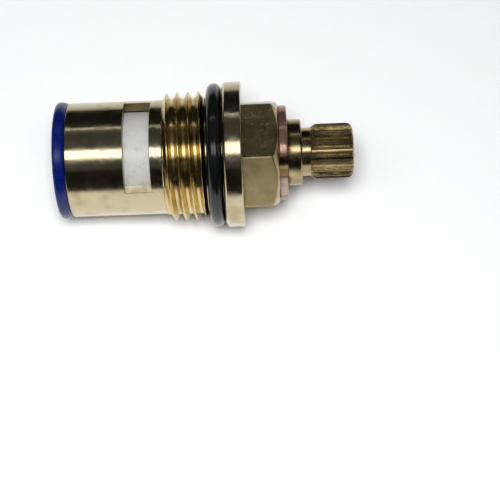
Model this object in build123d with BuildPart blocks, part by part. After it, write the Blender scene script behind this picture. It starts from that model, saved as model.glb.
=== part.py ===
from build123d import *

import os
from math import radians, tan

# Ceramic disc tap cartridge with a quarter turn, as it lies on a bench.
# The axis runs along X, with the splined end of the spindle at +X.
# X = 0 is the flange's seat, the face that stops against the tap body. +Z is up.
# Lengths are in millimetres and angles in degrees.
# An angle round the axis is counted from +Y towards +Z.

os.makedirs("parts", exist_ok=True)

# Housing, outside
sleeve_d = 15.8
sleeve_long = 21.25
sleeve_bevel = 0.15
thread_d = 17.8
thread_long = 5.75
thread_bevel = 0.6
thread_pitch = 1.5
thread_crest = 0.2
thread_depth = 0.87
neck_long = 2.4
flange_d = 20.1
flange_thick = 2.6
flange_bevel = 0.4
flange_break = 0.15
hex_across = 14.0
hex_long = 4.95
hex_face_d = 13.4
hex_bevel_angle = 35.0

# Housing, inside
bore_d = 13.3
shoulder_depth = 6.2
window_long = 3.6
window_angle = 107.0
window_lap = 0.45
window_turn = 98.75
key_wide = 3.0
key_deep = 0.7
lug_angle = 29.0
lug_deep = 1.25

# Spindle
spline_d = 7.7
spline_teeth = 20
spline_long = 5.95
spline_deep = 0.4
spline_mouth = 0.9
spline_root = 0.16
spline_lead = 0.85
spline_round = 1.0
spline_turn = 17.0
spindle_neck_d = 6.7
spindle_neck_long = 1.2
collar_long = 1.9
collar_bevel = 0.2
journal_d = 9.2
ear_thick = 2.5
stop_travel = 90.0
stop_play = 0.5
tongue_long = 7.2
tongue_wide = 2.9
tongue_deep = 1.5
screw_drill_d = 3.3
screw_drill_deep = 9.0
screw_mouth_d = 4.3

# Clip
clip_d = 13.1
clip_thick = 1.15
clip_mouth = 6.3
clip_turn = 150.0
clip_break = 0.12

# Washer, rings, discs and seal
washer_thick = 0.6
shaft_ring_section = 1.3
shaft_ring_groove = 1.7
shaft_ring_start = 1.6
shaft_ring_pitch = 3.4
flange_ring_inset = 0.1
flange_ring_section = 2.05
ring_sides = 12
moving_disc_thick = 4.6
moving_disc_cut = 70.0
moving_disc_hub_d = 5.0
fixed_disc_thick = 4.0
port_angle = 70.0
port_inner_d = 4.0
port_outer_d = 10.0
port_round = 0.5
seal_d = 16.2
seal_thick = 1.6
seal_wall = 0.8
seal_bevel = 0.3
support_wall = 0.6
support_inset = 0.4

# Clearances
journal_gap = 0.05
face_gap = 0.03
disc_gap = 0.08
ear_gap = 0.5
lug_gap = 0.1
slot_gap = 0.08
clip_gap = 0.05
seat_gap = 0.04
flange_ring_gap = 0.1
washer_gap = 0.15

# Radii
sleeve_r = sleeve_d / 2
thread_r = thread_d / 2
thread_root_r = thread_r - thread_depth
flange_r = flange_d / 2
neck_r = flange_r - flange_ring_inset - flange_ring_section
bore_r = bore_d / 2
journal_r = journal_d / 2
shaft_bore_r = journal_r + journal_gap
spline_r = spline_d / 2
spindle_neck_r = spindle_neck_d / 2
lug_r = bore_r - lug_deep
hub_r = lug_r - lug_gap
ear_r = bore_r - ear_gap
disc_r = bore_r - disc_gap
key_r = bore_r + key_deep
spigot_r = bore_r - seat_gap
seal_bore_r = spigot_r - seal_wall
seal_r = seal_d / 2
support_r = seal_bore_r - seat_gap
shaft_ring_r = shaft_bore_r - face_gap - shaft_ring_section / 2
shaft_groove_r = shaft_ring_r - shaft_ring_section / 2
flange_ring_r = neck_r + flange_ring_section / 2

# Places along the axis, from the flange's seat outwards
thread_end = -neck_long
thread_start = thread_end - thread_long
sleeve_end = -sleeve_long
hex_end = flange_thick + hex_long
clip_start = hex_end + clip_gap
clip_end = clip_start + clip_thick
collar_start = clip_end + clip_gap
collar_end = collar_start + collar_long
spline_start = collar_end + spindle_neck_long
spline_end = spline_start + spline_long
flange_ring_x = -flange_ring_gap - flange_ring_section / 2

# Places along the axis, from the inner shoulder down the stack
shoulder = -shoulder_depth
washer_end = shoulder - washer_thick
ear_start = washer_end - face_gap
ear_end = ear_start - ear_thick
moving_start = ear_end - face_gap
moving_end = moving_start - moving_disc_thick
fixed_start = moving_end - face_gap
fixed_end = fixed_start - fixed_disc_thick
window_start = moving_start - window_lap
window_end = window_start - window_long
lug_end = ear_end + lug_gap
seal_end = sleeve_end - seal_thick
shaft_ring_places = [shaft_ring_start, shaft_ring_start + shaft_ring_pitch]

# Angles round the axis
key_turn = window_turn + 90
ear_angle = 180 - stop_travel - lug_angle - 2 * stop_play
lug_turn = window_turn - ear_angle / 2 - lug_angle / 2 - stop_play

# Thread, as rings of its profile that stand in for the helix, from the sleeve up to the neck
crest_count = 1 + int((thread_long - 2 * thread_bevel + thread_crest) / thread_pitch)
crest_places = [thread_end - thread_bevel - thread_pitch * n for n in reversed(range(crest_count))]
flank_fall = thread_depth * tan(radians(30))
thread_outline = []
for place in crest_places:
    crest = (place - thread_crest / 2, place + thread_crest / 2)
    if place > crest_places[0]:
        thread_outline.append((crest[0] - flank_fall, thread_root_r))
    thread_outline += [(crest[0], thread_r), (crest[1], thread_r)]
    if place < crest_places[-1]:
        thread_outline.append((crest[1] + flank_fall, thread_root_r))


def ring_sector(inner_r, outer_r, angle):
    """Face of a sector of a ring, centred on the local X axis."""
    with BuildSketch(mode=Mode.PRIVATE) as sector:
        with BuildLine():
            outer = CenterArc((0, 0), outer_r, -angle / 2, angle)
            inner = CenterArc((0, 0), inner_r, -angle / 2, angle)
            Line(outer @ 0, inner @ 0)
            Line(outer @ 1, inner @ 1)
        make_face()
    return sector.sketch


# Housing: a hexagon with its corners turned off, on a turned and bored body
with BuildPart() as housing:
    with BuildSketch(Plane.YZ.offset(flange_thick)):
        RegularPolygon(radius=hex_across / 2, side_count=6, major_radius=False)
    extrude(amount=hex_long)
    with BuildSketch(Plane.XY):
        cone_fall = hex_across / 2 * tan(radians(hex_bevel_angle))
        with BuildLine():
            Polyline(
                (flange_thick - hex_long, 0),
                (hex_end, 0),
                (hex_end, hex_face_d / 2),
                (hex_end - cone_fall, hex_face_d / 2 + hex_across / 2),
                (flange_thick - hex_long, hex_face_d / 2 + hex_across / 2),
                close=True,
            )
        make_face()
    revolve(axis=Axis.X, mode=Mode.INTERSECT)

    # Sleeve, thread, ring neck and flange
    with BuildSketch(Plane.XY):
        with BuildLine():
            Polyline(
                (sleeve_end, 0),
                (sleeve_end, sleeve_r - sleeve_bevel),
                (sleeve_end + sleeve_bevel, sleeve_r),
                (thread_start, sleeve_r),
                *thread_outline,
                (thread_end, neck_r),
                (0, neck_r),
                (0, flange_r - flange_bevel),
                (flange_bevel, flange_r),
                (flange_thick - flange_break, flange_r),
                (flange_thick, flange_r - flange_break),
                (flange_thick, 0),
                close=True,
            )
        make_face()
    revolve(axis=Axis.X)

    # Stepped bore: wide for the discs and the seal, narrow for the spindle
    with BuildSketch(Plane.YZ.offset(sleeve_end)):
        Circle(bore_r)
    extrude(amount=shoulder - sleeve_end, mode=Mode.SUBTRACT)
    with BuildSketch(Plane.YZ.offset(shoulder)):
        Circle(shaft_bore_r)
    extrude(amount=hex_end - shoulder, mode=Mode.SUBTRACT)

    # Two windows in the sleeve, where the water leaves
    with BuildSketch(Plane.YZ.offset(window_end)):
        with PolarLocations(0, 2, start_angle=window_turn):
            add(ring_sector(bore_r - key_deep, sleeve_r + key_deep, window_angle))
    extrude(amount=window_long, mode=Mode.SUBTRACT)

    # Two keyways that keep the fixed disc from turning
    with BuildSketch(Plane.YZ.offset(sleeve_end)):
        Rectangle(2 * key_r, key_wide, rotation=key_turn)
    extrude(amount=fixed_start - sleeve_end, mode=Mode.SUBTRACT)

    # Two lugs in the bore, where the spindle's ears stop
    with BuildSketch(Plane.YZ.offset(lug_end)):
        with PolarLocations(0, 2, start_angle=lug_turn):
            add(ring_sector(lug_r, bore_r + lug_gap, lug_angle))
    extrude(amount=shoulder - lug_end)

# Spindle: a toothed bar turned to a lead and a round end, on a stepped shaft
with BuildPart() as spindle:
    with BuildSketch(Plane.YZ.offset(spline_start)):
        Circle(spline_r)
        with PolarLocations(0, spline_teeth, start_angle=spline_turn + 180 / spline_teeth):
            Polygon(
                (spline_r - spline_deep, -spline_root / 2),
                (spline_r, -spline_mouth / 2),
                (spline_r + spline_deep, -spline_mouth / 2),
                (spline_r + spline_deep, spline_mouth / 2),
                (spline_r, spline_mouth / 2),
                (spline_r - spline_deep, spline_root / 2),
                align=None,
                mode=Mode.SUBTRACT,
            )
    extrude(amount=spline_long)
    with BuildSketch(Plane.XY):
        with BuildLine():
            rounding = CenterArc((spline_end - spline_round, spline_r - spline_round), spline_round, 0, 90)
            Polyline(
                rounding @ 1,
                (spline_start + spline_lead, spline_r),
                (spline_start, spindle_neck_r),
                (spline_start, 0),
                (spline_end, 0),
                rounding @ 0,
            )
        make_face()
    revolve(axis=Axis.X, mode=Mode.INTERSECT)

    # Journal, clip groove, collar and neck
    with BuildSketch(Plane.XY):
        with BuildLine():
            Polyline(
                (ear_end, 0),
                (ear_end, journal_r),
                (hex_end, journal_r),
                (hex_end, spindle_neck_r),
                (collar_start, spindle_neck_r),
                (collar_start, journal_r),
                (collar_end - collar_bevel, journal_r),
                (collar_end, journal_r - collar_bevel),
                (collar_end, spindle_neck_r),
                (spline_start, spindle_neck_r),
                (spline_start, 0),
                close=True,
            )
        make_face()
    revolve(axis=Axis.X)

    # Grooves for the two sealing rings
    with BuildSketch(Plane.XY):
        for place in shaft_ring_places:
            with Locations((place, journal_r)):
                Rectangle(shaft_ring_groove, 2 * (journal_r - shaft_groove_r))
    revolve(axis=Axis.X, mode=Mode.SUBTRACT)

    # Hub with two ears that stop on the housing's lugs
    with BuildSketch(Plane.YZ.offset(ear_end)):
        Circle(hub_r)
        with PolarLocations(0, 2, start_angle=window_turn):
            add(ring_sector(journal_r, ear_r, ear_angle))
    extrude(amount=ear_thick)

    # Tongue that drives the moving disc
    with BuildSketch(Plane.YZ.offset(ear_end)):
        Rectangle(tongue_long, tongue_wide, rotation=window_turn)
    extrude(amount=-tongue_deep)

    # Hole for the handle screw, at the size it is drilled before tapping
    with Locations(Plane.YZ.offset(spline_end)):
        CounterSinkHole(screw_drill_d / 2, screw_mouth_d / 2, screw_drill_deep, 90)

# Clip: a stamped horseshoe in the spindle's groove, outside the hexagon
with BuildPart() as retaining_clip:
    with BuildSketch(Plane.YZ.offset(clip_start)):
        Circle(clip_d / 2)
        Circle(spindle_neck_r + face_gap, mode=Mode.SUBTRACT)
        with PolarLocations(clip_d / 2, 1, start_angle=clip_turn):
            Rectangle(clip_d, clip_mouth, mode=Mode.SUBTRACT)
    extrude(amount=clip_thick)
    rims = retaining_clip.edges().filter_by(GeomType.CIRCLE)
    chamfer(rims.filter_by(lambda edge: edge.radius > clip_d / 2 - face_gap), clip_break)

# Washer between the ears and the housing's shoulder, notched over the lugs
with BuildPart() as thrust_washer:
    with BuildSketch(Plane.YZ.offset(washer_end)):
        Circle(bore_r - washer_gap)
        Circle(shaft_bore_r + seat_gap, mode=Mode.SUBTRACT)
        with PolarLocations(0, 2, start_angle=lug_turn):
            add(ring_sector(lug_r - washer_gap, bore_r, lug_angle + 2), mode=Mode.SUBTRACT)
    extrude(amount=washer_thick)

# Sealing rings round the spindle and under the flange, with many-sided sections
with BuildPart() as spindle_o_ring_inner:
    with BuildSketch(Plane.XY):
        with Locations((shaft_ring_places[0], shaft_ring_r)):
            RegularPolygon(radius=shaft_ring_section / 2, side_count=ring_sides)
    revolve(axis=Axis.X)

with BuildPart() as spindle_o_ring_outer:
    with BuildSketch(Plane.XY):
        with Locations((shaft_ring_places[1], shaft_ring_r)):
            RegularPolygon(radius=shaft_ring_section / 2, side_count=ring_sides)
    revolve(axis=Axis.X)

with BuildPart() as flange_o_ring:
    with BuildSketch(Plane.XY):
        with Locations((flange_ring_x, flange_ring_r)):
            RegularPolygon(radius=flange_ring_section / 2, side_count=ring_sides)
    revolve(axis=Axis.X)

# Moving disc: two lobes that shut the ports, with a pocket for the tongue
with BuildPart() as moving_disc:
    with BuildSketch(Plane.YZ.offset(moving_end)):
        Circle(disc_r)
        with PolarLocations(0, 2, start_angle=window_turn + 90):
            add(ring_sector(moving_disc_hub_d / 2, bore_r, moving_disc_cut), mode=Mode.SUBTRACT)
    extrude(amount=moving_disc_thick)
    with BuildSketch(Plane.YZ.offset(moving_start)):
        pocket_long = tongue_long + 2 * slot_gap
        pocket_wide = tongue_wide + 2 * slot_gap
        Rectangle(pocket_long, pocket_wide, rotation=window_turn)
    extrude(amount=-tongue_deep - slot_gap, mode=Mode.SUBTRACT)

# Fixed disc: two ports under the windows, and two keys in the housing
with BuildPart() as fixed_disc:
    with BuildSketch(Plane.YZ.offset(fixed_end)):
        Circle(disc_r)
        Rectangle(2 * (key_r - disc_gap), key_wide - 2 * disc_gap, rotation=key_turn)
        with PolarLocations(0, 2, start_angle=window_turn):
            add(ring_sector(port_inner_d / 2, port_outer_d / 2, port_angle), mode=Mode.SUBTRACT)
    extrude(amount=fixed_disc_thick)
    port_walls = fixed_disc.faces().filter_by(GeomType.CYLINDER)
    port_walls = port_walls.filter_by(lambda wall: wall.radius < disc_r - disc_gap)
    fillet(port_walls.edges().filter_by(Axis.X), port_round)

# Seal: a soft collar that presses on the seat in the tap body
with BuildPart() as inlet_seal:
    with BuildSketch(Plane.XY):
        with BuildLine():
            Polyline(
                (seal_end, seal_bore_r),
                (seal_end, seal_r - seal_bevel),
                (seal_end + seal_bevel, seal_r),
                (sleeve_end - seal_bevel, seal_r),
                (sleeve_end, seal_r - seal_bevel),
                (sleeve_end, spigot_r),
                (fixed_end, spigot_r),
                (fixed_end, seal_bore_r),
                close=True,
            )
        make_face()
    revolve(axis=Axis.X)

# Ring that keeps the seal's opening round
with BuildPart() as seal_support_ring:
    with BuildSketch(Plane.YZ.offset(fixed_end)):
        Circle(support_r)
        Circle(support_r - support_wall, mode=Mode.SUBTRACT)
    extrude(amount=seal_end + support_inset - fixed_end)

housing.part.label = "housing"
spindle.part.label = "spindle"
retaining_clip.part.label = "retaining_clip"
thrust_washer.part.label = "thrust_washer"
spindle_o_ring_inner.part.label = "spindle_o_ring_inner"
spindle_o_ring_outer.part.label = "spindle_o_ring_outer"
flange_o_ring.part.label = "flange_o_ring"
moving_disc.part.label = "moving_disc"
fixed_disc.part.label = "fixed_disc"
inlet_seal.part.label = "inlet_seal"
seal_support_ring.part.label = "seal_support_ring"

export_step(housing.part, "parts/housing.step")
export_step(spindle.part, "parts/spindle.step")
export_step(retaining_clip.part, "parts/retaining_clip.step")
export_step(thrust_washer.part, "parts/thrust_washer.step")
export_step(spindle_o_ring_inner.part, "parts/spindle_o_ring_inner.step")
export_step(spindle_o_ring_outer.part, "parts/spindle_o_ring_outer.step")
export_step(flange_o_ring.part, "parts/flange_o_ring.step")
export_step(moving_disc.part, "parts/moving_disc.step")
export_step(fixed_disc.part, "parts/fixed_disc.step")
export_step(inlet_seal.part, "parts/inlet_seal.step")
export_step(seal_support_ring.part, "parts/seal_support_ring.step")
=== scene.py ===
"""Ceramic disc tap cartridge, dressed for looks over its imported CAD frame.

The axis runs along X with the splined end at +X, and X = 0 is the flange's seat.
Sizes are in millimetres and angles in degrees until a mesh is made, in metres.
An angle round the axis is counted from +Y towards +Z.
"""

import logging
import math
from collections.abc import Callable, Sequence
from dataclasses import dataclass, field
from enum import Enum

import bmesh
import bpy
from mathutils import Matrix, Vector


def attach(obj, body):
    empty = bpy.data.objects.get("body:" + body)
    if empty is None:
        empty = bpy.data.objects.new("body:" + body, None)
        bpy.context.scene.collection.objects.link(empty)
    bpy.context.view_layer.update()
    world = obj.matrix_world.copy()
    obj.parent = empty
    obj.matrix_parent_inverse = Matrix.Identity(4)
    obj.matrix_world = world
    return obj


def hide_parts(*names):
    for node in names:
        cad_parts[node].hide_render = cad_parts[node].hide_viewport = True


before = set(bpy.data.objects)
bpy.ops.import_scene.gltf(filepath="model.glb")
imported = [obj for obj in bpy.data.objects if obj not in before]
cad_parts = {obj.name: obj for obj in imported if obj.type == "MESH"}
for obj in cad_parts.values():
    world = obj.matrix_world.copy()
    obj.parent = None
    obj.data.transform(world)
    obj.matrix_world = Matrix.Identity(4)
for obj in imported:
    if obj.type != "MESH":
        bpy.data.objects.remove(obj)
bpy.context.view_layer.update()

MM = 0.001
MICRON = 1e-6
ROUND_STEPS = 144
# Corners nearer than this are one corner, in metres
SAME_CORNER = 1e-7
# Slack in millimetres and in degrees where faces and edges are picked by their place
SLACK = 0.01
ANGLE_SLACK = 0.1
# Edges with a larger angle stay sharp in the shading, and how much large faces lead it
SHARP_ANGLE = 32.0
FACE_WEIGHT = 60
# Levels of a cloudy pattern between which metal dulls and wears, and a skin stains and roughens
DULLING = (0.62, 0.75)
WEARING = (0.35, 0.7)
STAINING = (0.72, 0.85)
ROUGHENING = (0.3, 0.7)
log = logging.getLogger("cartridge")

# X and radius of a place on a profile, or the two ends of a span
Station = tuple[float, float]
Sockets = dict[str | int, object]


class Part(Enum):
    """What a selection in edit mode is made of."""

    FACE = "FACE"
    EDGE = "EDGE"


class Cut(Enum):
    """How one solid works on another."""

    TAKE_AWAY = "DIFFERENCE"
    KEEP_COMMON = "INTERSECT"


class Lay(Enum):
    """Which way a tool left its marks, as pattern stretch along X, Y and Z."""

    ROUND = (1.0, 0.03, 0.03)
    EVEN = (1.0, 1.0, 1.0)


# Modelling steps, as by hand


def let_go() -> None:
    """Leave edit mode with nothing selected."""
    active = bpy.context.view_layer.objects.active
    if active is not None and active.mode != "OBJECT":
        bpy.ops.object.mode_set(mode="OBJECT")
    bpy.ops.object.select_all(action="DESELECT")


def take(piece: bpy.types.Object) -> None:
    """Make one object the selected and active one.

    Args:
        piece: The object.
    """
    let_go()
    piece.select_set(True)
    bpy.context.view_layer.objects.active = piece


def settle(name: str) -> bpy.types.Object:
    """Name the active object and put its place into its mesh.

    Args:
        name: Name of the piece.

    Returns:
        The object, at the origin, unturned and unscaled.
    """
    piece = bpy.context.view_layer.objects.active
    take(piece)
    bpy.ops.object.transform_apply(location=True, rotation=True, scale=True)
    piece.name = name
    piece.data.name = name
    return piece


def pick(piece: bpy.types.Object, part: Part, test: Callable[[Vector, bool], bool]) -> None:
    """Select faces or edges of the mesh in edit mode by their place.

    Args:
        piece: The object in edit mode.
        part: Faces or edges.
        test: Takes a centre in millimetres and whether an edge is open, and says whether to select it.
    """
    bpy.ops.mesh.select_mode(type=part.value)
    bpy.ops.mesh.select_all(action="DESELECT")
    mesh = bmesh.from_edit_mesh(piece.data)
    if part is Part.FACE:
        for face in mesh.faces:
            if test(face.calc_center_median() / MM, False):
                face.select_set(True)
    else:
        for edge in mesh.edges:
            middle = (edge.verts[0].co + edge.verts[1].co) / 2 / MM
            if test(middle, edge.is_boundary):
                edge.select_set(True)
    bmesh.update_edit_mesh(piece.data)


def assign_slot(piece: bpy.types.Object, slot: int) -> None:
    """Give the selected faces the finish in one of the piece's slots."""
    piece.active_material_index = slot
    bpy.ops.object.material_slot_assign()


def angle_of(place: Vector) -> float:
    """Angle of a place round the axis, from 0 to 360 degrees."""
    return math.degrees(math.atan2(place.z, place.y)) % 360.0


def radius_of(place: Vector) -> float:
    """Distance of a place from the axis."""
    return math.hypot(place.y, place.z)


def between(angle: float, start: float, end: float) -> bool:
    """Whether an angle lies in a sector that runs from start up to end."""
    return (angle - start) % 360.0 <= (end - start) % 360.0


def close_up() -> None:
    """Merge doubles, fill open ends and point all faces outwards, in edit mode."""
    bpy.ops.mesh.select_mode(type="VERT")
    bpy.ops.mesh.select_all(action="SELECT")
    bpy.ops.mesh.remove_doubles(threshold=SAME_CORNER)
    bpy.ops.mesh.select_all(action="SELECT")
    bpy.ops.mesh.fill_holes(sides=0)
    bpy.ops.mesh.select_all(action="SELECT")
    bpy.ops.mesh.normals_make_consistent(inside=False)


def turn(name: str, stations: Sequence[Station], hollow: bool = True, steps: int = ROUND_STEPS) -> bpy.types.Object:
    """Turn a profile round the axis, ring by ring.

    Args:
        name: Name of the piece.
        stations: Places along X and radii, in the order that the profile runs.
        hollow: Whether the profile closes on its first station. Otherwise its two ends are filled.
        steps: Divisions round the axis.

    Returns:
        The turned solid.
    """
    let_go()
    x, radius = stations[0]
    bpy.ops.mesh.primitive_circle_add(
        vertices=steps, radius=radius * MM, location=(x * MM, 0, 0), rotation=(0, math.pi / 2, 0)
    )
    piece = settle(name)
    bpy.ops.object.mode_set(mode="EDIT")
    bpy.ops.mesh.select_all(action="SELECT")
    rest = list(stations[1:]) + ([stations[0]] if hollow else [])
    for next_x, next_radius in rest:
        bpy.ops.mesh.extrude_region_move(TRANSFORM_OT_translate={"value": ((next_x - x) * MM, 0, 0)})
        if not math.isclose(next_radius, radius):
            growth = next_radius / radius
            bpy.ops.transform.resize(value=(1, growth, growth), center_override=(next_x * MM, 0, 0))
        x, radius = next_x, next_radius
    close_up()
    let_go()
    return piece


def block(name: str, centre: Sequence[float], size: Sequence[float], turned: float = 0.0) -> bpy.types.Object:
    """Make a block that is turned round the cartridge's axis.

    Args:
        name: Name of the piece.
        centre: Centre before it is turned, in millimetres.
        size: Lengths along X, Y and Z.
        turned: Angle round the axis.

    Returns:
        The block.
    """
    let_go()
    bpy.ops.mesh.primitive_cube_add(size=MM, location=[value * MM for value in centre], scale=size)
    piece = settle(name)
    piece.rotation_euler = (math.radians(turned), 0, 0)
    return settle(name)


def sector(name: str, ends: Station, radii: Station, middle: float, sweep: float, steps: int = 16) -> bpy.types.Object:
    """Make a sector of a ring round the axis, by spinning a rectangle.

    Args:
        name: Name of the piece.
        ends: Lowest and highest X.
        radii: Inner and outer radius.
        middle: Angle of the sector's middle.
        sweep: Angle that it spans.
        steps: Divisions of the sweep.

    Returns:
        The closed sector.
    """
    let_go()
    bpy.ops.mesh.primitive_plane_add(size=MM, location=(0, 0, 0))
    piece = settle(name)
    piece.scale = (ends[1] - ends[0], radii[1] - radii[0], 1)
    piece.location = ((ends[0] + ends[1]) / 2 * MM, (radii[0] + radii[1]) / 2 * MM, 0)
    piece = settle(name)
    bpy.ops.object.mode_set(mode="EDIT")
    bpy.ops.mesh.select_all(action="SELECT")
    bpy.ops.mesh.spin(steps=steps, angle=math.radians(sweep), center=(0, 0, 0), axis=(1, 0, 0))
    close_up()
    let_go()
    corners = [angle_of(corner.co) for corner in piece.data.vertices]
    turned_up = sum(1 for angle in corners if angle < 180) > len(corners) / 2
    piece.rotation_euler = (math.radians(middle + (-sweep / 2 if turned_up else sweep / 2)), 0, 0)
    take(piece)
    return settle(name)


def helix(
    name: str, foot: Station, crest: Station, start: float, pitch: float, turns: int, steps: int = 96
) -> bpy.types.Object:
    """Wind a ridge round the axis as a thread.

    Args:
        name: Name of the piece.
        foot: Half of the ridge's width at its foot, and the radius there.
        crest: The same at its crest.
        start: X of the ridge's middle where it begins.
        pitch: Advance along X in a turn.
        turns: Number of turns.
        steps: Divisions of a turn.

    Returns:
        The ridge, closed at both ends.
    """
    let_go()
    bpy.ops.mesh.primitive_plane_add(size=MM, location=(0, 0, 0))
    piece = settle(name)
    section = ((-foot[0], foot[1]), foot, crest, (-crest[0], crest[1]))
    for corner, (x, radius) in zip((0, 1, 3, 2), section):
        piece.data.vertices[corner].co = ((start + x) * MM, radius * MM, 0)
    winding = piece.modifiers.new("winding", "SCREW")
    winding.axis = "X"
    winding.angle = math.tau
    winding.screw_offset = pitch * MM
    winding.iterations = turns
    winding.steps = steps
    winding.render_steps = steps
    winding.use_smooth_shade = False
    take(piece)
    bpy.ops.object.modifier_apply(modifier=winding.name)
    bpy.ops.object.mode_set(mode="EDIT")
    close_up()
    let_go()
    return settle(name)


def combine(piece: bpy.types.Object, tool: bpy.types.Object, how: Cut) -> None:
    """Cut a piece with a tool, and throw the tool away.

    Args:
        piece: The piece.
        tool: The solid that works on it.
        how: How it works on it.
    """
    take(piece)
    cutting = piece.modifiers.new("cut", "BOOLEAN")
    cutting.operation = how.value
    cutting.object = tool
    cutting.material_mode = "TRANSFER"
    bpy.ops.object.modifier_apply(modifier=cutting.name)
    bpy.data.objects.remove(tool)


def break_edges(piece: bpy.types.Object, width: float, rows: int = 2, sharper_than: float = 30.0) -> None:
    """Round the sharp edges of a piece.

    Args:
        piece: The piece.
        width: Width of the rounding.
        rows: Faces across it.
        sharper_than: Edges with a smaller angle stay.
    """
    take(piece)
    rounding = piece.modifiers.new("rounding", "BEVEL")
    rounding.width = width * MM
    rounding.segments = rows
    rounding.limit_method = "ANGLE"
    rounding.angle_limit = math.radians(sharper_than)
    rounding.use_clamp_overlap = False
    rounding.miter_outer = "MITER_ARC"
    bpy.ops.object.modifier_apply(modifier=rounding.name)


def unite(name: str, pieces: Sequence[bpy.types.Object]) -> bpy.types.Object:
    """Join pieces into one object and shade it by its angles.

    Args:
        name: Name of the whole.
        pieces: The pieces, the first of which leads.

    Returns:
        The whole.
    """
    take(pieces[0])
    for piece in pieces[1:]:
        piece.select_set(True)
    if len(pieces) > 1:
        bpy.ops.object.join()
    whole = settle(name)
    bpy.ops.object.shade_smooth_by_angle(angle=math.radians(SHARP_ANGLE))
    weights = whole.modifiers.new("weights", "WEIGHTED_NORMAL")
    weights.keep_sharp = True
    weights.weight = FACE_WEIGHT
    bpy.ops.object.modifier_apply(modifier=weights.name)
    return whole


def finish_with(piece: bpy.types.Object, *materials: bpy.types.Material) -> None:
    """Give a piece its materials, in slot order.

    Args:
        piece: The piece.
        *materials: Its materials, from the first slot on.
    """
    piece.data.materials.clear()
    for material in materials:
        piece.data.materials.append(material)


# Materials


def srgb(code: str) -> tuple[float, float, float, float]:
    """Turn an sRGB hex value to a linear colour.

    Args:
        code: Six hex digits after a hash.

    Returns:
        Linear red, green, blue and alpha.
    """
    parts = [int(code[place : place + 2], 16) / 255 for place in (1, 3, 5)]
    linear = [part / 12.92 if part <= 0.04045 else ((part + 0.055) / 1.055) ** 2.4 for part in parts]
    return (linear[0], linear[1], linear[2], 1.0)


def node(tree: bpy.types.NodeTree, kind: str, sockets: Sockets, **settings: object) -> bpy.types.Node:
    """Add a node with its settings, values and links.

    Args:
        tree: The material's node tree.
        kind: Type of the node.
        sockets: A value or the output to link, for each input by name or number.
        **settings: The node's own properties.

    Returns:
        The node.
    """
    made = tree.nodes.new(kind)
    for key, value in settings.items():
        setattr(made, key, value)
    for key, value in sockets.items():
        if isinstance(value, bpy.types.NodeSocket):
            tree.links.new(value, made.inputs[key])
        else:
            made.inputs[key].default_value = value
    return made


def blank(name: str) -> tuple[bpy.types.Material, bpy.types.NodeTree, bpy.types.NodeSocket]:
    """Start a material.

    Args:
        name: Name of the material.

    Returns:
        The material, its empty tree and the object's own coordinates.
    """
    material = bpy.data.materials.new(name)
    material.use_nodes = True
    tree = material.node_tree
    tree.nodes.clear()
    return material, tree, node(tree, "ShaderNodeTexCoord", {}).outputs["Object"]


def conclude(tree: bpy.types.NodeTree, sockets: Sockets) -> None:
    """End a material's tree with its shader, which gets these values and links."""
    shader = node(tree, "ShaderNodeBsdfPrincipled", sockets)
    node(tree, "ShaderNodeOutputMaterial", {"Surface": shader.outputs["BSDF"]})


def pattern(
    tree: bpy.types.NodeTree, place: bpy.types.NodeSocket, spacing: float, lay: Lay = Lay.EVEN, detail: float = 3.0
) -> bpy.types.NodeSocket:
    """Cloudy pattern of a real size.

    Args:
        tree: The material's node tree.
        place: Coordinates in metres.
        spacing: Size of the pattern's grain in millimetres.
        lay: Way in which it is drawn out.
        detail: Octaves of finer grain.

    Returns:
        The pattern, from 0 to 1.
    """
    stretch = tuple(part / (spacing * MM) for part in lay.value)
    laid = node(tree, "ShaderNodeMapping", {"Vector": place, "Scale": stretch})
    grain = node(tree, "ShaderNodeTexNoise", {"Vector": laid.outputs["Vector"], "Scale": 1.0, "Detail": detail})
    return grain.outputs["Fac"]


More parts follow.
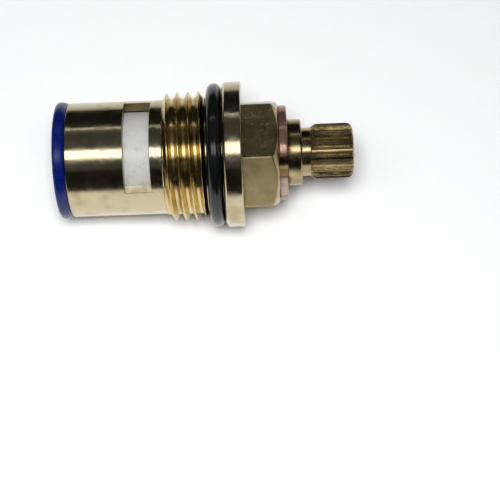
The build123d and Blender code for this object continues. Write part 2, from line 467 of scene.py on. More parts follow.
@dataclass(frozen=True)
class Brass:
    """Machined copper alloy: tool marks, a thin tarnish and a few pits.

    Attributes:
        name: Material's name.
        colour: Bare metal.
        tarnish: Where it has dulled.
        gloss: Roughness where it is cleanest and dullest.
        marks: Spacing of the tool marks.
        depth: Height of the tool marks, in thousandths of a millimetre.
        lay: Way in which the tool went.
        dulled: Share of the surface that has dulled.
        pitted: Width of the pits, or 0.
        bare: Share of the surface that is bare metal, where the rest is a matt film of oxide.
        dinted: Height of the small dints from handling, as a multiple of the tool marks', or 0.
        patch: Size of a dulled patch.
        worn: Size of a rubbed place.
        dint: Size of a dint.
        pit_spacing: Distance between pits.
        pit_colour: Colour of the dirt in a pit.
    """

    name: str
    colour: str
    tarnish: str
    gloss: Station
    marks: float
    depth: float
    lay: Lay = Lay.EVEN
    dulled: float = 0.3
    pitted: float = 0.0
    bare: float = 1.0
    dinted: float = 0.0
    patch: float = 2.6
    worn: float = 0.9
    dint: float = 0.45
    pit_spacing: float = 2.4
    pit_colour: str = "#2a1c12"

    def make(self) -> bpy.types.Material:
        """Build the material.

        Returns:
            The material.
        """
        material, tree, place = blank(self.name)
        patches = pattern(tree, place, self.patch, detail=5.0)
        wear = pattern(tree, place, self.worn, detail=5.0)
        height = pattern(tree, place, self.marks, self.lay, detail=2.0)
        clean, dull = srgb(self.colour), srgb(self.tarnish)
        dulling = {"Value": patches, "From Min": DULLING[0] - self.dulled / 2, "From Max": DULLING[1]}
        share = node(tree, "ShaderNodeMapRange", dulling).outputs["Result"]
        colour = node(tree, "ShaderNodeMix", {0: share, 6: clean, 7: dull}, data_type="RGBA").outputs[2]
        wearing = {"Value": wear, "From Min": WEARING[0], "From Max": WEARING[1]}
        wearing |= {"To Min": self.gloss[0], "To Max": self.gloss[1]}
        rough = node(tree, "ShaderNodeMapRange", wearing).outputs["Result"]
        if self.dinted:
            dints = pattern(tree, place, self.dint, detail=4.0)
            sum_of = {0: dints, 1: self.dinted, 2: height}
            height = node(tree, "ShaderNodeMath", sum_of, operation="MULTIPLY_ADD").outputs[0]
        if self.pitted:
            spread = {"Vector": place, "Scale": 1 / (self.pit_spacing * MM), "Randomness": 1.0}
            nearest = node(tree, "ShaderNodeTexVoronoi", spread, feature="F1").outputs["Distance"]
            pitting = {"Value": nearest, "From Max": self.pitted / self.pit_spacing, "To Min": 1.0, "To Max": 0.0}
            pits = node(tree, "ShaderNodeMapRange", pitting).outputs["Result"]
            dirt = srgb(self.pit_colour)
            colour = node(tree, "ShaderNodeMix", {0: pits, 6: colour, 7: dirt}, data_type="RGBA").outputs[2]
        raised = {"Height": height, "Distance": self.depth * MICRON, "Strength": 1.0}
        normal = node(tree, "ShaderNodeBump", raised).outputs["Normal"]
        conclude(tree, {"Base Color": colour, "Roughness": rough, "Metallic": self.bare, "Normal": normal})
        return material


@dataclass(frozen=True)
class Moulded:
    """Moulded or fired surface with a skin of its own.

    Attributes:
        name: Material's name.
        colour: Its colour.
        shade: Colour of its stains, wear or dust.
        gloss: Roughness where it is smoothest and roughest.
        grain: Spacing of its skin's texture.
        depth: Height of the texture, in thousandths of a millimetre.
        stained: Share of the surface that is stained.
        index: Refractive index.
        tide: Width of the marks that dried water leaves, as a share of the pattern, or 0.
        cloud: Size of a stain.
        pool: Size of the pools that dried.
        pool_edge: Level of the pattern at which a pool ends.
        tide_strength: How much of the stain's colour such a mark has.
    """

    name: str
    colour: str
    shade: str
    gloss: Station
    grain: float
    depth: float
    stained: float
    index: float
    tide: float = 0.0
    cloud: float = 1.4
    pool: float = 2.2
    pool_edge: float = 0.58
    tide_strength: float = 0.45

    def make(self) -> bpy.types.Material:
        """Build the material.

        Returns:
            The material.
        """
        material, tree, place = blank(self.name)
        clouds = pattern(tree, place, self.cloud, detail=6.0)
        skin = pattern(tree, place, self.grain, detail=4.0)
        clean, stain = srgb(self.colour), srgb(self.shade)
        staining = {"Value": clouds, "From Min": STAINING[0] - self.stained / 2, "From Max": STAINING[1]}
        share = node(tree, "ShaderNodeMapRange", staining).outputs["Result"]
        colour = node(tree, "ShaderNodeMix", {0: share, 6: clean, 7: stain}, data_type="RGBA").outputs[2]
        if self.tide:
            pools = pattern(tree, place, self.pool)
            edge = {0: pools, 1: self.pool_edge, 2: self.tide}
            rim = node(tree, "ShaderNodeMath", edge, operation="COMPARE").outputs[0]
            faint = node(tree, "ShaderNodeMath", {0: rim, 1: self.tide_strength}, operation="MULTIPLY").outputs[0]
            colour = node(tree, "ShaderNodeMix", {0: faint, 6: colour, 7: stain}, data_type="RGBA").outputs[2]
        roughening = {"Value": skin, "From Min": ROUGHENING[0], "From Max": ROUGHENING[1]}
        roughening |= {"To Min": self.gloss[0], "To Max": self.gloss[1]}
        rough = node(tree, "ShaderNodeMapRange", roughening).outputs["Result"]
        raised = {"Height": skin, "Distance": self.depth * MICRON, "Strength": 1.0}
        normal = node(tree, "ShaderNodeBump", raised).outputs["Normal"]
        conclude(tree, {"Base Color": colour, "Roughness": rough, "IOR": self.index, "Normal": normal})
        return material


@dataclass(frozen=True)
class Paper:
    """Matt board, clouded between two near whites."""

    name: str
    low: str
    high: str
    rough: float
    fibre: float

    def make(self) -> bpy.types.Material:
        """Build the material.

        Returns:
            The material.
        """
        material, tree, place = blank(self.name)
        share = pattern(tree, place, self.fibre)
        whites = {0: share, 6: srgb(self.low), 7: srgb(self.high)}
        colour = node(tree, "ShaderNodeMix", whites, data_type="RGBA").outputs[2]
        conclude(tree, {"Base Color": colour, "Roughness": self.rough})
        return material


# Free-cutting brass, turned and polished: bright and finely dinted, with rings too fine to see, drawn 0.1 mm apart
TURNED_BRASS = Brass(
    "brass_turned_polished", "#c4b897", "#ab9b76", gloss=(0.13, 0.22), marks=0.1, depth=0.8, lay=Lay.ROUND,
    dulled=0.25, pitted=0.09, dinted=8.0,
)
# The same brass under a threading die: fresh and bright, torn a little
THREADED_BRASS = Brass(
    "brass_die_threaded", "#d6c28c", "#a48d56", gloss=(0.14, 0.28), marks=0.12, depth=0.7, lay=Lay.ROUND, dulled=0.25
)
# Flats of the drawn bar, dulled by handling
HEXAGON_BRASS = Brass(
    "brass_drawn_hexagon", "#b4a379", "#9a8a60", gloss=(0.2, 0.3), marks=0.2, depth=0.9, dulled=0.4, pitted=0.07
)
# Wall that a milling cutter rubbed where it went in
MILLED_BRASS = Brass("brass_milled_rubbed", "#a3956e", "#75673f", gloss=(0.3, 0.42), marks=0.2, depth=10.0, dulled=0.5)
# Wall that the cutter tore where it came out: grainy, and painted near white as the light falling on the far wall, a
# lit copy of the milled brass
TORN_BRASS_PAINTED_LIGHT = Brass(
    "brass_milled_torn_painted_light", "#fbf3d4", "#b3a272", gloss=(0.3, 0.45), marks=0.3, depth=100.0, dulled=0.5, bare=0.45
)
# Spindle brass, turned, a little oxidised
SPINDLE_BRASS = Brass(
    "brass_spindle_turned", "#bdad84", "#6e5932", gloss=(0.16, 0.3), marks=0.14, depth=2.4, dulled=0.5, pitted=0.06
)
# The same brass where the teeth were rolled: brown with oxide, and torn so that it sparkles
ROLLED_BRASS = Brass(
    "brass_spline_rolled", "#8c7850", "#4c3c20", gloss=(0.14, 0.3), marks=0.3, depth=80.0,
    dulled=0.55, pitted=0.06, bare=0.8,
)
# Spring bronze, punched from strip and barrelled, half covered with oxide
BRONZE = Brass(
    "phosphor_bronze_stamped", "#987565", "#76564a", gloss=(0.1, 0.22), marks=0.2, depth=1.6, dulled=0.5, bare=0.67
)
# Broken zone where the punch sheared the strip: grainy, and painted near white as the light that falls on the clip's
# mouth
SHEARED_BRONZE_PAINTED_LIGHT = Brass(
    "phosphor_bronze_sheared_painted_light", "#fdeade", "#b08873", gloss=(0.3, 0.45), marks=0.34, depth=150.0, dulled=0.6, bare=0.3
)
# Nitrile rubber, moulded: black with a satin skin and a little dust
NITRILE = Moulded(
    "nitrile_rubber_moulded", "#0d0f0f", "#171918", gloss=(0.12, 0.19), grain=0.12, depth=1.5, stained=0.3, index=1.51
)
# Silicone rubber, moulded and dyed blue
SILICONE = Moulded(
    "silicone_rubber_moulded_blue", "#03165a", "#021048", gloss=(0.25, 0.31), grain=0.2, depth=0.8,
    stained=0.4, index=1.43,
)
# Alumina, fired and ground: off-white, faintly stained by handling, with the rims of dried drops
ALUMINA = Moulded(
    "alumina_fired_ground", "#bcbbb7", "#8f897d", gloss=(0.3, 0.5), grain=0.1, depth=1.2,
    stained=0.3, index=1.76, tide=0.006,
)
# Acetal, moulded natural white
ACETAL = Moulded(
    "acetal_moulded_white", "#e0ded6", "#cfccc0", gloss=(0.35, 0.5), grain=0.2, depth=1.0, stained=0.3, index=1.48
)
# Uncoated paper, pressed and white, with fibres 1 mm long
PAPER = Paper("paper_white_matt", "#f9f9f9", "#fdfdfd", rough=0.9, fibre=1.0)


@dataclass
class Housing:
    """Brass housing: bored sleeve with two windows, thread, flange and hexagon."""

    sleeve_end: float = -21.25
    sleeve_radius: float = 7.9
    sleeve_bevel: float = 0.15
    bore_radius: float = 6.65
    shaft_radius: float = 4.65
    shoulder: float = -6.2
    edge_break: float = 0.07

    # Windows: the walls lean, and the far one, which gets the brass with painted light, is picked with a margin and a
    # reach either way
    window: Station = (-13.41, -9.81)
    window_sides: Station = (45.0, 152.5)
    wall_lean: float = -3.5
    wall_margin: float = 0.1
    wall_reach: Station = (6.0, 3.0)

    # Thread: half of the crest's flat, the slope of a flank, and how far the ridge is sunk in the root
    thread: Station = (-8.15, -2.4)
    root_radius: float = 8.03
    root_steps: Station = (0.1, 0.05)
    crest_radius: float = 8.9
    crest_flat: float = 0.075
    crest_break: float = 0.05
    flank: float = 30.0
    sunk: float = 0.06
    pitch: float = 1.5
    first_crest: float = -12.35
    turns: int = 9
    run_outs: Station = (0.6, 0.35)
    run_out_inset: float = 0.02
    run_out_foot: float = 0.03
    run_out_depth: float = 0.2

    neck_radius: float = 7.9
    flange_radius: float = 10.05
    flange_thick: float = 2.6
    flange_bevels: Station = (0.4, 0.15)
    hexagon_end: float = 7.55
    hexagon_across: float = 14.0
    hexagon_face: float = 6.7
    hexagon_slope: float = 35.0
    hexagon_sunk: float = 0.03
    hexagon_spare: Station = (1.0, 0.4)
    hexagon_break: float = 0.13
    key_turn: float = 188.75
    key_size: Station = (14.7, 3.0)
    key_end: float = -13.99
    key_spare: float = 1.0
    lug_turn: float = 53.75
    lug_sweep: float = 29.0
    lug_radius: float = 5.4
    lug_end: float = -9.23
    lug_sunk: Station = (0.05, 0.1)

    def body(self) -> bpy.types.Object:
        """Turn the sleeve, neck and flange with their bore.

        Returns:
            The body, with its windows still closed.
        """
        step_up, step_down = self.root_steps
        seat_bevel, face_bevel = self.flange_bevels
        return turn(
            "housing_body",
            [
                (self.sleeve_end, self.bore_radius),
                (self.sleeve_end, self.sleeve_radius - self.sleeve_bevel),
                (self.sleeve_end + self.sleeve_bevel, self.sleeve_radius),
                (self.window[0], self.sleeve_radius),
                (self.window[1], self.sleeve_radius),
                (self.thread[0], self.sleeve_radius),
                (self.thread[0] + step_up, self.root_radius),
                (self.thread[1], self.root_radius),
                (self.thread[1] + step_down, self.neck_radius),
                (0.0, self.neck_radius),
                (0.0, self.flange_radius - seat_bevel),
                (seat_bevel, self.flange_radius),
                (self.flange_thick - face_bevel, self.flange_radius),
                (self.flange_thick, self.flange_radius - face_bevel),
                (self.flange_thick, self.shaft_radius),
                (self.shoulder, self.shaft_radius),
                (self.shoulder, self.bore_radius),
                (self.window[1], self.bore_radius),
                (self.window[0], self.bore_radius),
            ],
        )

    def open_windows(self, body: bpy.types.Object) -> None:
        """Open the two windows in the sleeve's wall and mill their end walls, and paint light on the far wall of each
        with the bright torn brass.

        Args:
            body: The turned body.
        """
        step = 360.0 / ROUND_STEPS
        lean = step * math.trunc(self.wall_lean / step)
        mid_wall = (self.bore_radius + self.sleeve_radius) / 2
        margin = self.wall_margin
        before, after = self.wall_reach

        def in_wall(place: Vector, end: float) -> bool:
            """Whether a face is the window's wall at its far end, which gets the painted light.

            Args:
                place: Centre of the face.
                end: Angle at which the window ends.

            Returns:
                True for a face of that wall.
            """
            deep = self.bore_radius + margin < radius_of(place) < self.sleeve_radius - margin
            inside = self.window[0] + margin < place.x < self.window[1] - margin
            return deep and inside and between(angle_of(place), end - before, end + after)

        def in_window(place: Vector, start: float, end: float) -> bool:
            """Whether a face or edge lies over the window.

            Args:
                place: Its centre.
                start: Angle at which the window begins.
                end: Angle at which it ends.

            Returns:
                True inside the window, whose walls lean.
            """
            shift = lean if radius_of(place) < mid_wall else 0.0
            inside = self.window[0] - SLACK < place.x < self.window[1] + SLACK
            return inside and between(angle_of(place), start + shift - ANGLE_SLACK, end + shift + ANGLE_SLACK)

        take(body)
        bpy.ops.object.mode_set(mode="EDIT")
        for turned in (0.0, 180.0):
            start, end = (side + turned for side in self.window_sides)
            pick(body, Part.FACE, lambda place, _: in_window(place, start, end))
            bpy.ops.mesh.delete(type="FACE")
            pick(body, Part.EDGE, lambda place, is_open: is_open and in_window(place, start, end))
            bpy.ops.mesh.bridge_edge_loops()
            assign_slot(body, 1)
            # The far wall gets slot 2, the bright torn brass: painted light
            pick(body, Part.FACE, lambda place, _: in_wall(place, end))
            assign_slot(body, 2)
        bpy.ops.mesh.select_all(action="SELECT")
        bpy.ops.mesh.normals_make_consistent(inside=False)
        let_go()

    def mark_root(self, body: bpy.types.Object) -> None:
        """Give the thread's root the finish that the die leaves.

        Args:
            body: The turned body.
        """
        low, high = self.thread
        take(body)
        bpy.ops.object.mode_set(mode="EDIT")
        pick(body, Part.FACE, lambda place, _: low < place.x < high and radius_of(place) > self.sleeve_radius)
        assign_slot(body, 3)
        let_go()

    def ridge(self) -> bpy.types.Object:
        """Wind the thread's ridge and trim it to the threaded length.

        Returns:
            The ridge with its run-outs.
        """
        slope = math.tan(math.radians(self.flank))
        foot = self.crest_flat + (self.crest_radius - self.root_radius + self.sunk) * slope
        wound = helix(
            "thread_ridge",
            (foot, self.root_radius - self.sunk),
            (self.crest_flat, self.crest_radius),
            self.first_crest,
            self.pitch,
            self.turns,
        )
        inset = self.run_out_inset
        low, high = self.thread
        run_in, run_out = self.run_outs
        band = turn(
            "thread_band",
            [
                (low + inset, self.root_radius - self.run_out_depth),
                (low + inset, self.root_radius - self.run_out_foot),
                (low + run_in, self.crest_radius + inset),
                (high - run_out, self.crest_radius + inset),
                (high + inset, self.root_radius - self.run_out_foot),
                (high + inset, self.root_radius - self.run_out_depth),
            ],
        )
        combine(wound, band, Cut.KEEP_COMMON)
        return wound

    def hexagon(self) -> bpy.types.Object:
        """Mill the hexagon and turn its corners off.

        Returns:
            The hexagon.
        """
        spare_long, spare_out = self.hexagon_spare
        corner = self.hexagon_across / 2 / math.cos(math.radians(30))
        low = self.flange_thick - self.hexagon_sunk
        let_go()
        bpy.ops.mesh.primitive_cylinder_add(
            vertices=6,
            radius=corner * MM,
            depth=(self.hexagon_end - low + spare_long) * MM,
            location=((self.hexagon_end + low) / 2 * MM, 0, 0),
            rotation=(0, math.pi / 2, 0),
        )
        bar = settle("hexagon")
        reach = corner + spare_out
        fall = (reach - self.hexagon_face) * math.tan(math.radians(self.hexagon_slope))
        turned = turn(
            "hexagon_turning",
            [
                (low, self.shaft_radius),
                (low, reach),
                (self.hexagon_end - fall, reach),
                (self.hexagon_end, self.hexagon_face),
                (self.hexagon_end, self.shaft_radius),
            ],
        )
        combine(bar, turned, Cut.KEEP_COMMON)
        return bar

    def keyway(self) -> bpy.types.Object:
        """Make the cutter of the two keyways, which run out of the sleeve's end.

        Returns:
            The cutter.
        """
        long = self.key_end - self.sleeve_end + self.key_spare
        middle = (self.key_end + self.sleeve_end - self.key_spare) / 2
        return block("keyway", (middle, 0, 0), (long, *self.key_size), self.key_turn)

    def build(self) -> bpy.types.Object:
        """Build and dress the housing.

        Returns:
            The finished piece.
        """
        # torn is the bright torn brass, which paints light on the windows' far walls
        turned, threaded, drawn, milled, torn = (
            finish.make() for finish in (TURNED_BRASS, THREADED_BRASS, HEXAGON_BRASS, MILLED_BRASS, TORN_BRASS_PAINTED_LIGHT)
        )
        body = self.body()
        finish_with(body, turned, milled, torn, threaded)
        self.open_windows(body)
        self.mark_root(body)
        combine(body, self.keyway(), Cut.TAKE_AWAY)
        break_edges(body, self.edge_break)
        ridge = self.ridge()
        break_edges(ridge, self.crest_break, 3)
        finish_with(ridge, threaded)
        hexagon = self.hexagon()
        break_edges(hexagon, self.hexagon_break)
        finish_with(hexagon, drawn)
        sunk_in_shoulder, sunk_in_bore = self.lug_sunk
        lugs = [
            sector(
                "lug",
                (self.lug_end, self.shoulder + sunk_in_shoulder),
                (self.lug_radius, self.bore_radius + sunk_in_bore),
                self.lug_turn + turned_by,
                self.lug_sweep,
            )
            for turned_by in (0.0, 180.0)
        ]
        for lug in lugs:
            finish_with(lug, milled)
        whole = unite("housing_brass", [body, ridge, hexagon, *lugs])
        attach(whole, "housing")
        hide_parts("housing")
        return whole


@dataclass
class FlangeRing:
    """Rubber O-ring in the neck behind the flange."""

    centre: float = -1.125
    radius: float = 8.925
    section: float = 2.05
    inset: float = 0.01
    section_steps: int = 32
    flash_wide: float = 0.04
    flash_growth: float = 1.0016
    flash_reach: float = 0.07

    def build(self) -> bpy.types.Object:
        """Mould the ring, with the fine line where the mould's halves met.

        Returns:
            The finished piece.
        """
        let_go()
        bpy.ops.mesh.primitive_torus_add(
            major_radius=self.radius * MM,
            minor_radius=(self.section / 2 - self.inset) * MM,
            major_segments=ROUND_STEPS,
            minor_segments=self.section_steps,
            location=(self.centre * MM, 0, 0),
            rotation=(0, math.pi / 2, 0),
        )
        ring = settle("flange_ring")
        outmost = self.radius + self.section / 2 - self.flash_reach

        def on_flash(place: Vector, _: bool) -> bool:
            """Whether an edge lies on the ring's greatest circle."""
            return abs(place.x - self.centre) < SLACK and radius_of(place) > outmost

        bpy.ops.object.mode_set(mode="EDIT")
        pick(ring, Part.EDGE, on_flash)
        bpy.ops.mesh.bevel(offset=self.flash_wide * MM, segments=2, affect="EDGES")
        pick(ring, Part.EDGE, on_flash)
        growth = (1, self.flash_growth, self.flash_growth)
        bpy.ops.transform.resize(value=growth, center_override=(self.centre * MM, 0, 0))
        let_go()
        finish_with(ring, NITRILE.make())
        ring = unite("flange_ring_rubber", [ring])
        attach(ring, "housing")
        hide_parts("flange_o_ring")
        return ring


@dataclass
class InletSeal:
    """Blue seal that stands past the sleeve's end and presses on the seat."""

    face: float = -22.85
    back: float = -21.25
    spigot_end: float = -17.99
    radius: float = 8.1
    spigot_radius: float = 6.61
    bore_radius: float = 5.81

    # Profile as steps: the lip from the face and the opening, the crown from the face and the
    # greatest radius, and the heel from the back and that radius
    lip: tuple[Station, ...] = ((0.06, 0.0), (0.0, 0.25), (0.0, 0.8), (0.06, 0.9))
    crown: tuple[Station, ...] = (
        (0.06, 0.6), (0.01, 0.45), (0.03, 0.3), (0.1, 0.15), (0.24, 0.05),
        (0.44, 0.0), (0.68, 0.01), (0.92, 0.05), (1.14, 0.12),
    )
    heel: tuple[Station, ...] = ((0.25, 0.21), (0.07, 0.32), (0.0, 0.44))
    edge_break: float = 0.06

    def build(self) -> bpy.types.Object:
        """Mould the seal with its rounded lip.

        Returns:
            The finished piece.
        """
        seal = turn(
            "seal",
            [
                *((self.face + x, self.bore_radius + rise) for x, rise in self.lip),
                *((self.face + x, self.radius - fall) for x, fall in self.crown),
                *((self.back - x, self.radius - fall) for x, fall in self.heel),
                (self.back, self.spigot_radius),
                (self.spigot_end, self.spigot_radius),
                (self.spigot_end, self.bore_radius),
            ],
        )
        break_edges(seal, self.edge_break, 3)
        finish_with(seal, SILICONE.make())
        seal = unite("inlet_seal_silicone", [seal])
        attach(seal, "housing")
        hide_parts("inlet_seal")
        return seal


@dataclass
class Clip:
    """Horseshoe clip, punched from bronze strip, in the spindle's groove."""

    ends: Station = (7.6, 8.75)
    radius: float = 6.55
    inner_radius: float = 3.38
    mouth: float = 6.3
    turned: float = 150.0

    # Rounding of the rim on the punch's side and on the die's, as steps from that side and the rim
    punched_rim: tuple[Station, ...] = ((0.0, 0.12), (0.04, 0.04), (0.12, 0.0))
    die_rim: tuple[Station, ...] = ((0.24, 0.0), (0.12, 0.04), (0.03, 0.13), (0.0, 0.28))
    mouth_through: float = 3.0
    edge_break: float = 0.07
    steps: int = 120

    def build(self) -> bpy.types.Object:
        """Punch the clip, with rolled edges on one side and a torn edge in the mouth, painted bright as lit.

        Returns:
            The finished piece.
        """
        low, high = self.ends
        clip = turn(
            "clip",
            [
                (low, self.inner_radius),
                *((low + x, self.radius - fall) for x, fall in self.punched_rim),
                *((high - x, self.radius - fall) for x, fall in self.die_rim),
                (high, self.inner_radius),
            ],
            steps=self.steps,
        )
        # The mouth's walls get the near-white sheared bronze, which is painted light
        bronze, sheared_painted_light = BRONZE.make(), SHEARED_BRONZE_PAINTED_LIGHT.make()
        finish_with(clip, bronze, sheared_painted_light)
        centre = ((low + high) / 2, self.radius, 0)
        mouth = block("mouth", centre, (self.mouth_through, 2 * self.radius, self.mouth), self.turned)
        finish_with(mouth, sheared_painted_light)
        combine(clip, mouth, Cut.TAKE_AWAY)
        break_edges(clip, self.edge_break)
        clip = unite("retaining_clip_bronze", [clip])
        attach(clip, "spindle")
        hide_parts("retaining_clip")
        return clip


@dataclass
class Spindle:
    """Brass spindle: splined end, neck, collar, journal, ears and tongue."""

    hub: Station = (-9.33, -6.83)
    hub_radius: float = 5.3
    journal_radius: float = 4.6
    journal_end: float = 7.55
    groove_radius: float = 3.32
    groove_wide: float = 1.7
    grooves: Station = (1.6, 5.0)
    neck_radius: float = 3.35
    collar: Station = (8.8, 10.7)
    collar_bevel: float = 0.2
    edge_break: float = 0.06

    # Spline: the shaft at its root rises from the neck and ends short of the face
    spline: Station = (11.9, 17.85)
    spline_radius: float = 3.85
    root_radius: float = 3.45
    root_ends: Station = (0.17, 0.2)
    lead: float = 0.85
    rounding: float = 1.0
    teeth: int = 20
    first_tooth: float = 17.0
    tip_wide: float = 0.24
    root_wide: float = 0.924
    tooth_sunk: float = 0.1
    tooth_spare: float = 1.0
    tooth_rounding: float = 0.07
    form_clear: float = 0.01
    form_ends: Station = (0.25, 0.4)
    form_short: float = 0.05

    # Hole with the thread for the handle's screw, whose ridge stands out of its wall
    hole_radius: float = 2.03
    hole_end: float = 8.85
    hole_lip: float = 0.12
    screw_pitch: float = 0.7
    screw_crest: float = 1.66
    screw_foot: float = 0.42
    screw_tip: float = 0.05
    screw_sunk: float = 0.05
    screw_start: float = 0.4
    screw_turns: int = 11
    screw_steps: int = 40

    ear_turn: float = 98.75
    ear_sweep: float = 60.0
    ear_radius: float = 6.15
    ear_sunk: float = 0.3
    ear_break: float = 0.1
    tongue: Sequence[float] = (1.5, 7.2, 2.9)
    tongue_sunk: float = 0.1

    def arc(self, past: float = 0.0) -> list[Station]:
        """Stations of the rounded end, from the rim to the end face.

        Args:
            past: How far the stations lie outside the surface.

        Returns:
            The stations, 15 degrees apart.
        """
        centre_x = self.spline[1] - self.rounding
        centre_r = self.spline_radius - self.rounding
        return [
            (
                centre_x + (self.rounding + past) * math.sin(math.radians(angle)),
                centre_r + (self.rounding + past) * math.cos(math.radians(angle)),
            )
            for angle in range(0, 91, 15)
        ]

    def shaft(self) -> bpy.types.Object:
        """Turn the shaft with its grooves and the drilled and countersunk hole.

        Returns:
            The shaft.
        """
        journal = self.journal_radius
        half = self.groove_wide / 2
        grooves: list[Station] = []
        for place in self.grooves:
            grooves += [
                (place - half, journal),
                (place - half, self.groove_radius),
                (place + half, self.groove_radius),
                (place + half, journal),
            ]
        rounded = [(x, radius) for x, radius in self.arc() if radius < self.root_radius]
        rise, short = self.root_ends
        return turn(
            "shaft",
            [
                (self.hub[0], self.hub_radius),
                (self.hub[1], self.hub_radius),
                (self.hub[1], journal),
                *grooves,
                (self.journal_end, journal),
                (self.journal_end, self.neck_radius),
                (self.collar[0], self.neck_radius),
                (self.collar[0], journal),
                (self.collar[1] - self.collar_bevel, journal),
                (self.collar[1], journal - self.collar_bevel),
                (self.collar[1], self.neck_radius),
                (self.spline[0], self.neck_radius),
                (self.spline[0] + rise, self.root_radius),
                (self.spline[1] - short, self.root_radius),
                *rounded,
                (self.spline[1], self.hole_radius + self.hole_lip),
                (self.spline[1] - self.hole_lip, self.hole_radius),
                (self.hole_end, self.hole_radius),
            ],
            hollow=False,
        )

    def tooth(self) -> bpy.types.Object:
        """Model one tooth, longer than the spline and with its tip rounded.

        Returns:
            The tooth.
        """
        low = self.root_radius - self.tooth_sunk
        tooth = block(
            "tooth",
            ((self.spline[0] + self.spline[1]) / 2, (low + self.spline_radius) / 2, 0),
            (self.spline[1] - self.spline[0] + self.tooth_spare, self.spline_radius - low, self.root_wide),
        )
        tip = self.spline_radius - SLACK
        bpy.ops.object.mode_set(mode="EDIT")
        pick(tooth, Part.FACE, lambda place, _: place.y > tip)
        bpy.ops.transform.resize(value=(1, 1, self.tip_wide / self.root_wide), center_override=(0, 0, 0))
        pick(tooth, Part.EDGE, lambda place, _: place.y > tip and abs(place.z) > SLACK)
        bpy.ops.mesh.bevel(offset=self.tooth_rounding * MM, segments=3, affect="EDGES")
        let_go()
        return tooth

    def toothing(self) -> bpy.types.Object:
        """Copy the tooth round the spindle, and turn the ends of all.

        Returns:
            The twenty teeth.
        """
        tooth = self.tooth()
        teeth = [tooth]
        for count in range(1, self.teeth):
            take(tooth)
            bpy.ops.object.duplicate(linked=False)
            copy = bpy.context.view_layer.objects.active
            copy.rotation_euler = (math.tau * count / self.teeth, 0, 0)
            teeth.append(settle(f"tooth_{count}"))
        take(tooth)
        for copy in teeth[1:]:
            copy.select_set(True)
        bpy.ops.object.join()
        ring = settle("toothing")
        ring.rotation_euler = (math.radians(self.first_tooth), 0, 0)
        ring = settle("toothing")
        clear = self.form_clear
        sunk_at_neck, sunk_at_face = self.form_ends
        form = turn(
            "spline_form",
            [
                (self.spline[0], self.root_radius - sunk_at_neck),
                (self.spline[0], self.neck_radius + clear),
                (self.spline[0] + self.lead, self.spline_radius + clear),
                *self.arc(clear)[:-1],
                (self.spline[1] - self.form_short, self.root_radius - sunk_at_face),
            ],
        )
        combine(ring, form, Cut.KEEP_COMMON)
        return ring

    def screw_thread(self) -> bpy.types.Object:
        """Wind the ridge of the thread for the handle's screw."""
        return helix(
            "screw_thread",
            (self.screw_pitch * self.screw_foot, self.hole_radius + self.screw_sunk),
            (self.screw_tip, self.screw_crest),
            self.hole_end + self.screw_start,
            self.screw_pitch,
            self.screw_turns,
            steps=self.screw_steps,
        )

    def build(self) -> bpy.types.Object:
        """Build and dress the spindle.

        Returns:
            The finished piece.
        """
        brass, rolled = SPINDLE_BRASS.make(), ROLLED_BRASS.make()
        shaft = self.shaft()
        break_edges(shaft, self.edge_break)
        teeth = self.toothing()
        ear_radii = (self.hub_radius - self.ear_sunk, self.ear_radius)
        ears = [
            sector("ear", self.hub, ear_radii, self.ear_turn + turned, self.ear_sweep) for turned in (0.0, 180.0)
        ]
        depth, long, wide = self.tongue
        centre = (self.hub[0] - depth / 2 + self.tongue_sunk / 2, 0, 0)
        tongue = block("tongue", centre, (depth + self.tongue_sunk, long, wide), self.ear_turn)
        for part in (*ears, tongue):
            break_edges(part, self.ear_break)
        parts = [shaft, teeth, self.screw_thread(), *ears, tongue]
        for part in parts:
            finish_with(part, rolled if part is teeth else brass)
        whole = unite("spindle_brass", parts)
        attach(whole, "spindle")
        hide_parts("spindle")
        return whole


@dataclass
class InnerParts:
    """Parts that keep the shape of the source: discs, washer and rings inside."""

    finishes: dict[str, Moulded] = field(
        default_factory=lambda: {
            "moving_disc": ALUMINA,
            "fixed_disc": ALUMINA,
            "thrust_washer": ACETAL,
            "seal_support_ring": ACETAL,
            "spindle_o_ring_inner": NITRILE,
            "spindle_o_ring_outer": NITRILE,
        }
    )

    def dress(self) -> list[bpy.types.Object]:
        """Give each part its material.

        Returns:
            The dressed parts.
        """
        made: dict[str, bpy.types.Material] = {}
        dressed = []
        for name, finish in self.finishes.items():
            if finish.name not in made:
                made[finish.name] = finish.make()
            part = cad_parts[name]
            finish_with(part, made[finish.name])
            dressed.append(part)
        return dressed


@dataclass(frozen=True)
class Lamp:
    """Soft lamp that faces the cartridge.

    Attributes:
        name: Name of the lamp.
        turned: Angle from straight up towards the viewer's side.
        distance: Distance from the axis in metres.
        size: Length along X and width, in metres.
        watts: Its power.
        glossy: Whether bright metal shows it.
        tint: Its colour.
    """

    name: str
    turned: float
    distance: float
    size: Station
    watts: float
    glossy: bool = True
    tint: str = "#ffffff"

    def hang(self) -> None:
        """Hang the lamp."""
        let_go()
        angle = math.radians(self.turned)
        place = (0.0, -self.distance * math.sin(angle), self.distance * math.cos(angle))
        bpy.ops.object.light_add(type="AREA", location=place, rotation=(angle, 0, 0))
        made = bpy.context.view_layer.objects.active
        made.name = self.name
        made.data.shape = "RECTANGLE"
        made.data.size, made.data.size_y = self.size
        made.data.energy = self.watts
        made.data.color = srgb(self.tint)[:3]
        made.visible_glossy = self.glossy


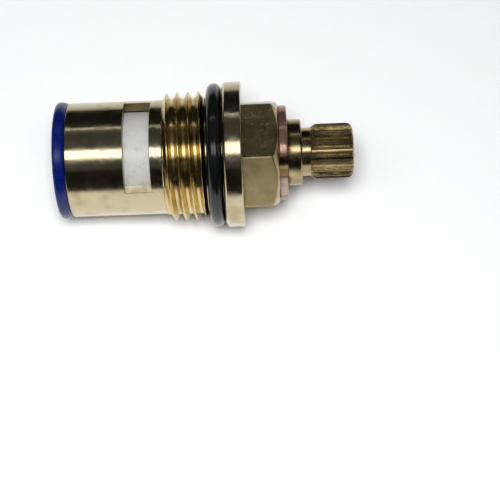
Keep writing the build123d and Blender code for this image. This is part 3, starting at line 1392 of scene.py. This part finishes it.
@dataclass
class Studio:
    """Pale floor, soft lamps and the camera at the photograph's angle."""

    # The floor touches the ring that carries the cartridge, and slopes against the axis to its seal
    floor_at: Station = (-1.125, -9.96)
    floor_slope: float = 4.93
    floor_size: float = 6.0

    # Camera: focal length, sensor, place, turn round X, Y and Z, and the nearest that it shows in metres
    lens: float = 91.34
    sensor: float = 36.0
    camera_at: Sequence[float] = (5.96, -78.38, 158.77)
    camera_turn: Sequence[float] = (21.901, 1.637, -1.561)
    nearest: float = 0.005

    # The brass shows the dim room as its dark bands, and doesn't show the key
    room_colour: str = "#ffffff"
    room_light: float = 0.012
    lamps: tuple[Lamp, ...] = (
        Lamp("softbox", turned=16.0, distance=0.5, size=(0.7, 0.15), watts=0.98, tint="#f8fcff"),
        Lamp("strip", turned=-38.0, distance=0.5, size=(0.7, 0.012), watts=0.075),
        Lamp("ceiling", turned=4.0, distance=1.0, size=(2.4, 1.9), watts=0.7),
        Lamp("key", turned=19.0, distance=0.24, size=(0.07, 0.07), watts=0.5, glossy=False),
    )

    def floor(self) -> None:
        """Lay a pale board under the cartridge, touching the rings that carry it."""
        let_go()
        bpy.ops.mesh.primitive_plane_add(size=self.floor_size, location=(0, 0, 0))
        board = settle("floor")
        board.rotation_euler = (0, math.radians(self.floor_slope), 0)
        board.location = (self.floor_at[0] * MM, 0, self.floor_at[1] * MM)
        board = settle("floor")
        finish_with(board, PAPER.make())

    def room(self) -> None:
        """Dim the room."""
        world = bpy.data.worlds.new("dim_room")
        bpy.context.scene.world = world
        world.use_nodes = True
        back = world.node_tree.nodes["Background"]
        back.inputs["Color"].default_value = srgb(self.room_colour)
        back.inputs["Strength"].default_value = self.room_light

    def camera(self) -> None:
        """Set up the camera."""
        let_go()
        bpy.ops.object.camera_add(
            location=[value * MM for value in self.camera_at],
            rotation=[math.radians(value) for value in self.camera_turn],
        )
        camera = bpy.context.view_layer.objects.active
        camera.name = "camera"
        camera.data.lens = self.lens
        camera.data.sensor_width = self.sensor
        camera.data.clip_start = self.nearest
        bpy.context.scene.camera = camera

    def build(self) -> None:
        """Set up the whole studio."""
        self.camera()
        self.floor()
        for lamp in self.lamps:
            lamp.hang()
        self.room()
        bpy.context.scene.view_settings.view_transform = "Standard"


def main() -> None:
    """Build the dressed cartridge and its studio."""
    logging.basicConfig(level=logging.INFO, format="%(message)s")
    Studio().build()
    for assembly in (Housing(), FlangeRing(), InletSeal(), Clip(), Spindle()):
        piece = assembly.build()
        log.info("%s: %d faces", piece.name, len(piece.data.polygons))
    for part in InnerParts().dress():
        log.info("%s: dressed", part.name)
    let_go()


if __name__ == "__main__":
    main()
